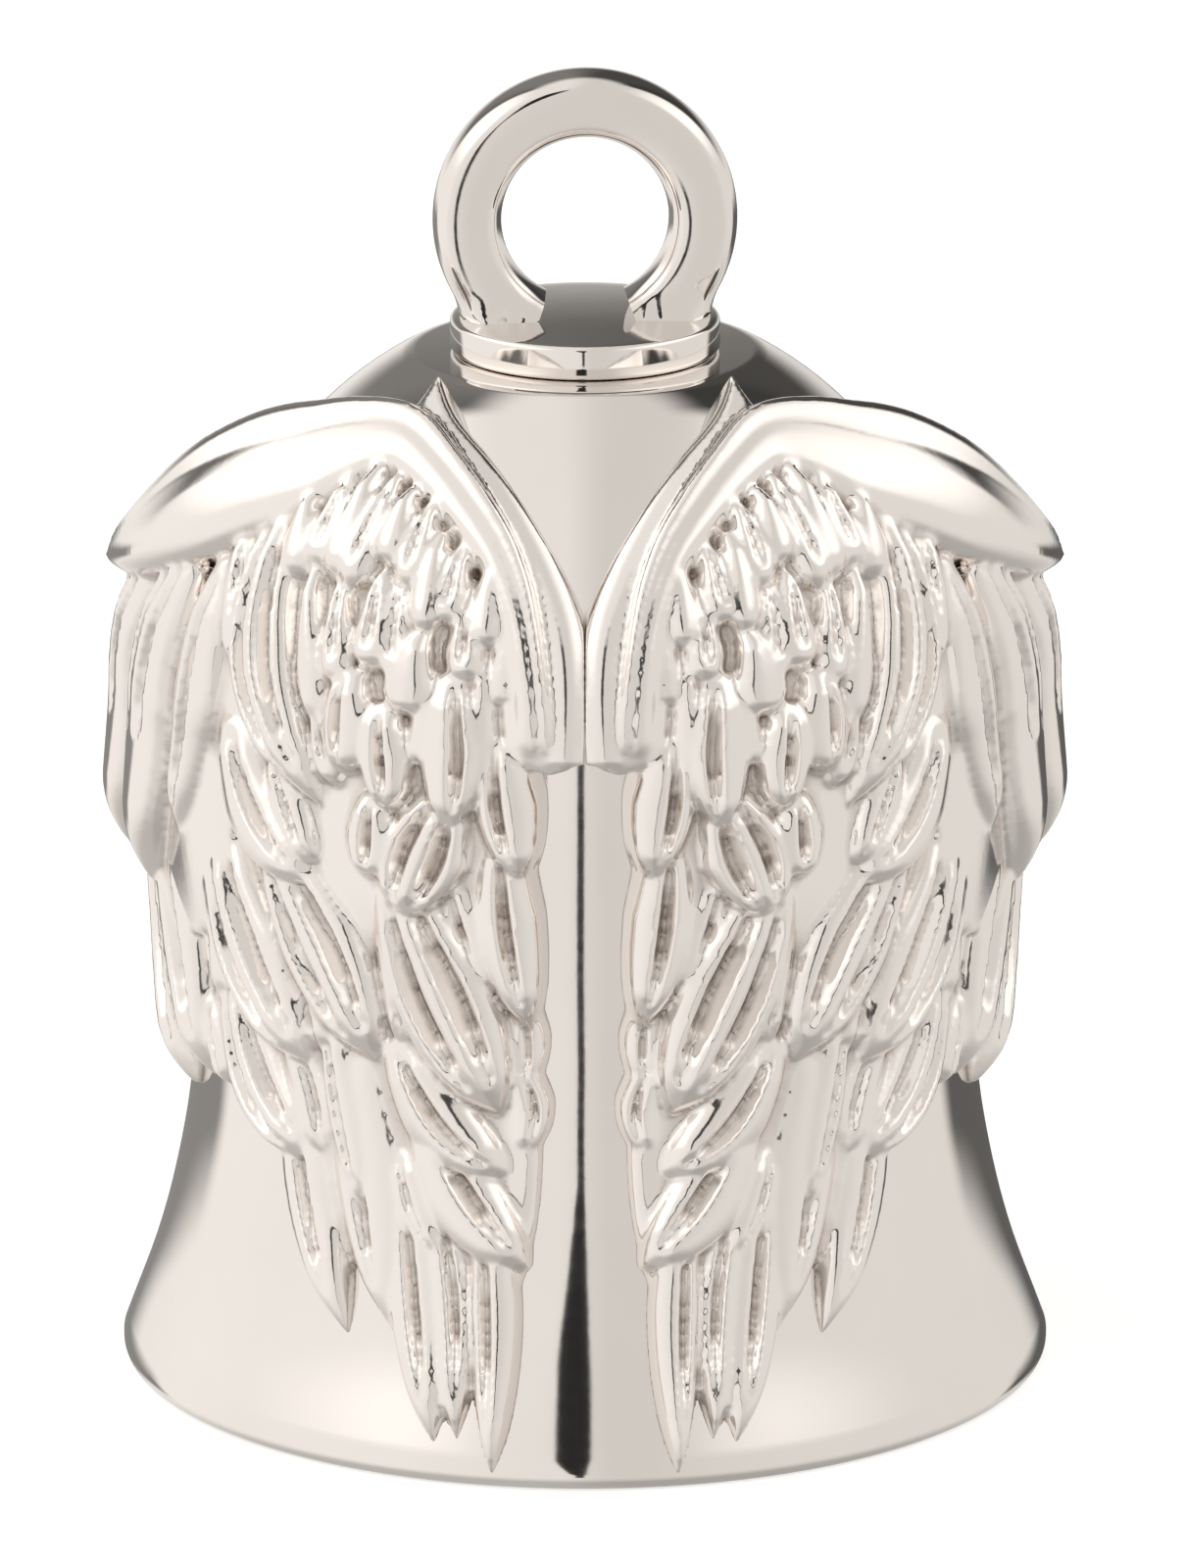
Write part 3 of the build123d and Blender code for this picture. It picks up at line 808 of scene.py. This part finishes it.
class RIDEBELL_OT_wings(bpy.types.Operator):
    """Lay every feather on the bell, fuse them into a wing and mirror it"""

    bl_idname = "ridebell.wings"
    bl_label = "Wings"

    def execute(self, context):
        wing = context.scene.ride_bell_wing
        finish = context.scene.ride_bell_finish
        long_forms = [feather_form(pointed, pillow, (groove,)) for groove in (0, -0.25, 0.25)]
        wide = feather_form(pointed, pillow, (-0.375, 0.375))
        drops = [feather_form(teardrop, pillow),
                 feather_form(teardrop, pillow, (0,), depth=0.12, length=(-0.9, 0.45))]
        half_split = feather_form(pointed, pillow, (-0.3, 0.3), depth=0.12, length=(-0.95, 0.1))
        band = feather_form(band_width, ridge, rows=130, tip=0)
        arm = feather_form(band_width, arm_section, rows=130, tip=0)
        flat = feather_form(teardrop, slab)
        laid = [lay_feather(flat, row, 0.2) for row in BED]
        for rows, depth in ((PRIMARIES, 0.65), (SECONDARIES, 0.75), (MIDDLE, 0.8), (COVERTS, 0.8)):
            for number, row in enumerate(rows):
                form = wide if row[3] > 2.6 else long_forms[number % len(long_forms)]
                if rows is COVERTS and number < 3:
                    form = half_split
                laid.append(lay_feather(form, row, depth))
        for number, row in enumerate(SMALL_COVERTS):
            laid.append(lay_feather(drops[number % len(drops)], row, 0.8))
        laid.append(lay_band(arm, ARM, 0.9))
        laid.append(lay_band(band, INNER_RIDGE, 0.5))
        laid.append(lay_band(band, SPIKE, 0.4))
        for form in [*long_forms, wide, *drops, half_split, band, arm, flat]:
            bpy.data.objects.remove(form)
        start()
        for feather in laid:
            feather.select_set(True)
        bpy.context.view_layer.objects.active = laid[0]
        bpy.ops.object.join()
        right = bpy.context.active_object
        right.data.remesh_voxel_size = wing.grain
        bpy.ops.object.voxel_remesh()
        put_modifier(right, "SMOOTH", factor=0.5, iterations=wing.softening)
        self.fit_to_bell(right)
        self.thin_back(right)
        take(right)
        bpy.ops.object.duplicate()
        left = bpy.context.active_object
        bpy.ops.transform.resize(value=(-1, 1, 1), center_override=(0, 0, 0))
        bpy.ops.object.transform_apply(location=True, rotation=True, scale=True)
        bpy.ops.object.mode_set(mode="EDIT")
        bpy.ops.mesh.select_all(action="SELECT")
        bpy.ops.mesh.normals_make_consistent(inside=False)
        bpy.ops.object.mode_set(mode="OBJECT")
        metal = cast_plate("wing_nickel_plate", finish.nickel, finish.dull_metal_and_shade, wing.gloss)
        for piece, name in ((right, "wing_right"), (left, "wing_left")):
            finish_piece(piece, name + "_relief", metal, "bell", name, sharp=180)
            # Store the hollow mask that darkens the wings' colour with dull metal and painted
            # shade.
            dull_metal_and_shade = piece.data.attributes.new("dull_metal_and_shade", "FLOAT", "POINT")
            dull_metal_and_shade.data.foreach_set("value", dull_metal_and_shade_of(piece.data).astype(np.float32))
        return {"FINISHED"}

    @staticmethod
    def thin_back(piece):
        """Use fewer faces where the wing lies against the bell."""
        take(piece)
        against = height_off_bell(places_of(piece.data)) < 0.01
        bpy.ops.object.mode_set(mode="EDIT")
        bpy.ops.mesh.select_all(action="DESELECT")
        mesh = bmesh.from_edit_mesh(piece.data)
        for vertex, touching in zip(mesh.verts, against):
            vertex.select = bool(touching)
        mesh.select_flush(True)
        bmesh.update_edit_mesh(piece.data)
        bpy.ops.mesh.decimate(ratio=0.06)
        bpy.ops.object.mode_set(mode="OBJECT")

    @staticmethod
    def fit_to_bell(piece):
        """Set the back of the wing on the bell's surface and keep it on its own side."""
        points = places_of(piece.data)
        height = height_off_bell(points)
        angle = np.arctan2(points[:, 0], -points[:, 1])
        under = height < -BACK_SINK
        r = np.interp(points[:, 2], LINE_Z, LINE_R) - BACK_SINK
        flank = np.stack([r * np.sin(angle), -r * np.cos(angle), points[:, 2]], -1)
        centre = np.array((0, 0, DOME_CENTRE_Z))
        from_centre = points - centre
        length = np.linalg.norm(from_centre, axis=1)[:, None]
        dome = centre + from_centre / length * (DOME_R - BACK_SINK)
        settled = np.where(points[:, 2:] > DOME_CENTRE_Z, dome, flank)
        points = np.where(under[:, None], settled, points)
        points[:, 0] = np.maximum(points[:, 0], HALF_GAP)
        piece.data.vertices.foreach_set("co", points.ravel())
        piece.data.update()


# ------------------------------------------------------------------ operators: inside
class RIDEBELL_OT_fixings(bpy.types.Operator):
    """Model the crown nut, the clapper staple and the jump ring"""

    bl_idname = "ridebell.fixings"
    bl_label = "Nut, Staple and Jump Ring"

    def execute(self, context):
        finish = context.scene.ride_bell_finish
        steel = plated("bright_steel", finish.steel, 0.22, wave=0.05, grain=0.03)
        self.nut(steel)
        self.staple(steel)
        self.link(steel)
        return {"FINISHED"}

    @staticmethod
    def nut(steel):
        """A hexagon nut with rounded corners and a bored middle."""
        thickness = NUT_HIGH.z - NUT_LOW.z
        start()
        bpy.ops.mesh.primitive_cylinder_add(
            vertices=6, radius=NUT_HIGH.x, depth=thickness,
            location=(0, 0, (NUT_HIGH.z + NUT_LOW.z) / 2), rotation=(0, 0, math.pi / 2))
        bpy.ops.object.transform_apply(location=True, rotation=True, scale=True)
        nut = bpy.context.active_object
        put_modifier(nut, "BEVEL", width=NUT_BEVEL, segments=3)
        start()
        bpy.ops.mesh.primitive_cylinder_add(
            vertices=64, radius=NUT_BORE_R, depth=thickness * 2,
            location=(0, 0, (NUT_HIGH.z + NUT_LOW.z) / 2))
        drill = bpy.context.active_object
        put_modifier(nut, "BOOLEAN", operation="DIFFERENCE", object=drill)
        bpy.data.objects.remove(drill)
        finish_piece(nut, "crown_nut_hex", steel, "bell", "crown_nut", sharp=30)

    @staticmethod
    def staple(steel):
        """A U of round wire: half a ring with a straight leg drawn up from each end."""
        wire = STAPLE_HIGH.y
        bend = STAPLE_HIGH.x - wire
        bend_z = STAPLE_LOW.z + wire + bend
        wire_ring(bend, wire, bend_z, (math.pi / 2, 0, 0), 64)
        bpy.ops.object.mode_set(mode="EDIT")
        pick(lambda p: p.z > bend_z + 0.001)
        bpy.ops.mesh.delete(type="VERT")
        for side in (-1, 1):
            pick(lambda p: abs(p.z - bend_z) < 0.001 and side * p.x > 0)
            bpy.ops.mesh.extrude_region_move(
                TRANSFORM_OT_translate={"value": (0, 0, STAPLE_HIGH.z - bend_z)})
            bpy.ops.mesh.edge_face_add()
        tidy_surface()
        bpy.ops.object.mode_set(mode="OBJECT")
        piece = bpy.context.active_object
        finish_piece(piece, "clapper_staple_wire", steel, "bell", "clapper_staple")

    @staticmethod
    def link(steel):
        """A jump ring with the fine seam of its soldered joint."""
        wire = LINK_HIGH.x
        radius = LINK_HIGH.y - wire
        centre_z = (LINK_HIGH.z + LINK_LOW.z) / 2
        wire_ring(radius, wire, centre_z, (0, math.pi / 2, 0), 72)
        bpy.ops.object.mode_set(mode="EDIT")
        pick(lambda p: p.y > 0 and abs(p.z - centre_z) < 0.02)
        seam = Vector((0, radius, centre_z))
        bpy.ops.transform.resize(value=(0.93, 0.93, 1), center_override=seam)
        bpy.ops.object.mode_set(mode="OBJECT")
        piece = bpy.context.active_object
        finish_piece(piece, "jump_ring_wire", steel, "link", "jump_ring")


class RIDEBELL_OT_clapper(bpy.types.Operator):
    """Model the clapper's rod with its eye, and the ball"""

    bl_idname = "ridebell.clapper"
    bl_label = "Clapper"

    def execute(self, context):
        finish = context.scene.ride_bell_finish
        self.stem(plated("stem_steel_rod", finish.steel, 0.18, wave=0.05, grain=0.03))
        self.ball(plated("ball_nickel_plate", finish.nickel, 0.09))
        return {"FINISHED"}

    @staticmethod
    def stem(steel):
        """A turned rod with a shoulder and a peened end, and a ring of wire for its eye."""
        eye_r = STEM_HIGH.x - EYE_WIRE_R
        eye_z = STEM_HIGH.z - STEM_HIGH.x
        shoulder_r = STEM_HIGH.y
        shoulder_z = BALL_HIGH.z
        low = STEM_LOW.z
        outline = [(0, low), (0.5, low), (shoulder_r * 0.93, low + 0.06),
                   (shoulder_r, low + 0.14), (ROD_R, low + 0.4), (ROD_R, shoulder_z),
                   (shoulder_r, shoulder_z + 0.05), (shoulder_r * 0.96, shoulder_z + 0.13)]
        outline += [(ROD_R + 0.1, shoulder_z + 0.45), (ROD_R, shoulder_z + 0.62)]
        outline += [(ROD_R, eye_z - eye_r - 0.3), (ROD_R * 0.85, eye_z - eye_r - 0.1),
                    (0, eye_z - eye_r)]
        rod = turned(outline, 48)
        wire_ring(eye_r, EYE_WIRE_R, eye_z, (math.pi / 2, 0, 0), 64)
        eye = bpy.context.active_object
        put_modifier(rod, "BOOLEAN", operation="UNION", object=eye)
        bpy.data.objects.remove(eye)
        finish_piece(rod, "clapper_stem_rod", steel, "clapper", "clapper_stem")

    @staticmethod
    def ball(plate):
        """A bored ball: an arc from the upper flat to the lower one, closed along the bore."""
        radius = BALL_HIGH.x
        centre_z = (BALL_HIGH.z + BALL_LOW.z) / 2
        flat = math.degrees(math.acos(BALL_BORE_R / radius))
        outline = arc((0, centre_z), radius, flat, -flat, 48)
        piece = turned(outline + [outline[0]], 96)
        finish_piece(piece, "clapper_ball_turned", plate, "clapper", "clapper_ball")


# ------------------------------------------------------------------ operator: the stage
def math_node(nodes, links, operation, first, second=None):
    """One arithmetic node, fed by sockets or by plain numbers."""
    node = nodes.new("ShaderNodeMath")
    node.operation = operation
    for slot, value in enumerate((first, second)):
        if value is None:
            continue
        if isinstance(value, (int, float)):
            node.inputs[slot].default_value = value
        else:
            links.new(value, node.inputs[slot])
    return node.outputs["Value"]


def step_up(nodes, links, value, low, high):
    """0 below a value, 1 above another, smooth between them."""
    node = nodes.new("ShaderNodeMapRange")
    node.interpolation_type = "SMOOTHSTEP"
    node.inputs["From Min"].default_value = low
    node.inputs["From Max"].default_value = high
    links.new(value, node.inputs["Value"])
    return node.outputs["Result"]


class RIDEBELL_OT_stage(bpy.types.Operator):
    """Set out the floor, the soft light of a tent studio and the camera"""

    bl_idname = "ridebell.stage"
    bl_label = "Stage"

    def execute(self, context):
        stage = context.scene.ride_bell_stage
        self.floor(stage)
        self.tent(context.scene)
        self.camera(context.scene, stage)
        context.scene.view_settings.view_transform = "Standard"
        return {"FINISHED"}

    @staticmethod
    def floor(stage):
        """A plain pale floor."""
        start()
        bpy.ops.mesh.primitive_plane_add(size=stage.floor_size)
        floor = bpy.context.active_object
        floor.name = "floor"
        material, nodes, links, shader = new_material("pale_floor")
        place = nodes.new("ShaderNodeTexCoord").outputs["Object"]
        soft = noise(nodes, links, 40, 2, place)
        links.new(spread(nodes, links, soft.outputs["Fac"], 0.85, 0.95), shader.inputs["Roughness"])
        shader.inputs["Base Color"].default_value = (0.96, 0.96, 0.96, 1)
        shader.inputs["Emission Color"].default_value = (1, 1, 1, 1)
        shader.inputs["Emission Strength"].default_value = 0.45
        floor.data.materials.append(material)
        floor.visible_glossy = False

    @staticmethod
    def tent(scene):
        """Light from all round: bright soft sides, a slit in front and a dim back."""
        world = bpy.data.worlds.new("tent")
        scene.world = world
        world.use_nodes = True
        nodes, links = world.node_tree.nodes, world.node_tree.links
        ray = nodes.new("ShaderNodeTexCoord").outputs["Generated"]
        parts = nodes.new("ShaderNodeSeparateXYZ")
        links.new(ray, parts.inputs["Vector"])
        x, y, z = (parts.outputs[axis] for axis in "XYZ")

        def m(operation, first, second=None):
            return math_node(nodes, links, operation, first, second)

        def up(value, low, high):
            return step_up(nodes, links, value, low, high)

        front = m("MULTIPLY", y, -1.0)
        azimuth = m("MULTIPLY", m("ARCTAN2", x, front), 180 / math.pi)
        turn = m("ABSOLUTE", azimuth)
        rise = m("MULTIPLY", m("ARCSINE", z), 180 / math.pi)
        # Angles are in degrees. Azimuth is 0 in front and 180 behind, and rise is 0 level.
        # Even light all round, a little weaker on the right, with a soft box high on each side.
        side = m("ABSOLUTE", x)
        right = up(x, -0.12, 0.12)
        box = m("MULTIPLY", up(side, 0.3, 0.8), up(z, 0.15, 0.5))
        box = m("MULTIPLY", box, m("SUBTRACT", 1.0, up(z, 0.84, 0.95)))
        light = m("ADD", 0.89, m("MULTIPLY", up(side, 0.2, 0.9), 0.09))
        light = m("SUBTRACT", light, m("MULTIPLY", right, 0.16))
        light = m("ADD", light, m("MULTIPLY", box, 0.5))
        below = m("SUBTRACT", 1.0, up(rise, -55, -18))
        light = m("MULTIPLY", light, m("SUBTRACT", 1.0, m("MULTIPLY", below, 0.4)))
        # The slit in front widens and moves left as it climbs.
        slit_centre = m("SUBTRACT", m("MULTIPLY", up(rise, -6, 16), -1.8), 1.2)
        slit_half = m("ADD", m("MULTIPLY", up(rise, -9, 20), 3.6), 1.0)
        off_slit = m("ABSOLUTE", m("SUBTRACT", azimuth, slit_centre))
        slit = m("SUBTRACT", 1.0, up(m("DIVIDE", off_slit, slit_half), 0.85, 1.15))
        slit = m("MULTIPLY", slit, m("SUBTRACT", 1.0, up(rise, 26, 34)))
        slit = m("MULTIPLY", slit, up(rise, -19, -16))
        light = m("MULTIPLY", light, m("SUBTRACT", 1.0, m("MULTIPLY", slit, 0.97)))
        # The back is dim in two bands: one just below the horizon and one high up.
        low_band = m("MULTIPLY", up(rise, -26, -19), m("SUBTRACT", 1.0, up(rise, -13, -6)))
        high_band = m("MULTIPLY", up(rise, -2, 18), m("SUBTRACT", 1.0, up(rise, 54, 68)))
        dim = m("MULTIPLY", up(turn, 126, 135), m("ADD", low_band, high_band))
        dim_light = m("SUBTRACT", 0.27, m("MULTIPLY", right, 0.15))
        near_front = m("SUBTRACT", 1.0, up(turn, 128, 152))
        fall = m("ADD", 0.05, m("MULTIPLY", near_front, 0.1))
        dim_light = m("SUBTRACT", dim_light, m("MULTIPLY", high_band, fall))
        dim_light = m("MAXIMUM", dim_light, 0.05)
        kept = m("MULTIPLY", light, m("SUBTRACT", 1.0, dim))
        light = m("ADD", kept, m("MULTIPLY", dim_light, dim))
        links.new(light, nodes["Background"].inputs["Strength"])
        nodes["Background"].inputs["Color"].default_value = (1.0, 0.97, 0.93, 1)

    @staticmethod
    def camera(scene, stage):
        """A long lens a little above the bell, looking down at it."""
        bpy.ops.object.camera_add(
            location=(0.0002, -stage.camera_back, stage.camera_up),
            rotation=(math.pi / 2 - stage.camera_tilt, 0, 0))
        camera = bpy.context.active_object
        camera.data.lens = stage.lens
        camera.data.sensor_width = 36
        camera.data.clip_start = 0.01
        camera.data.clip_end = 10
        scene.camera = camera


class RIDEBELL_PT_panel(bpy.types.Panel):
    """The steps that make the bell, in order"""

    bl_label = "Ride Bell"
    bl_idname = "RIDEBELL_PT_panel"
    bl_space_type = "VIEW_3D"
    bl_region_type = "UI"
    bl_category = "Ride Bell"

    def draw(self, context):
        for operator in OPERATORS:
            self.layout.operator(operator.bl_idname)


OPERATORS = [RIDEBELL_OT_stage, RIDEBELL_OT_shell, RIDEBELL_OT_collar, RIDEBELL_OT_ring,
             RIDEBELL_OT_wings, RIDEBELL_OT_fixings, RIDEBELL_OT_clapper]
GROUPS = {"ride_bell_sizes": RideBellSizes, "ride_bell_finish": RideBellFinish,
          "ride_bell_wing": RideBellWing, "ride_bell_stage": RideBellStage}


def register():
    """Register the settings, the operators and the panel."""
    for cls in [*GROUPS.values(), *OPERATORS, RIDEBELL_PT_panel]:
        bpy.utils.register_class(cls)
    for name, group in GROUPS.items():
        setattr(bpy.types.Scene, name, bpy.props.PointerProperty(type=group))


def unregister():
    """Remove what register added."""
    for name in GROUPS:
        delattr(bpy.types.Scene, name)
    for cls in [RIDEBELL_PT_panel, *OPERATORS[::-1], *GROUPS.values()]:
        bpy.utils.unregister_class(cls)


def main():
    """Make every piece in order."""
    register()
    bpy.ops.ridebell.stage()
    bpy.ops.ridebell.shell()
    bpy.ops.ridebell.collar()
    bpy.ops.ridebell.ring()
    bpy.ops.ridebell.wings()
    bpy.ops.ridebell.fixings()
    bpy.ops.ridebell.clapper()


if __name__ == "__main__":
    main()
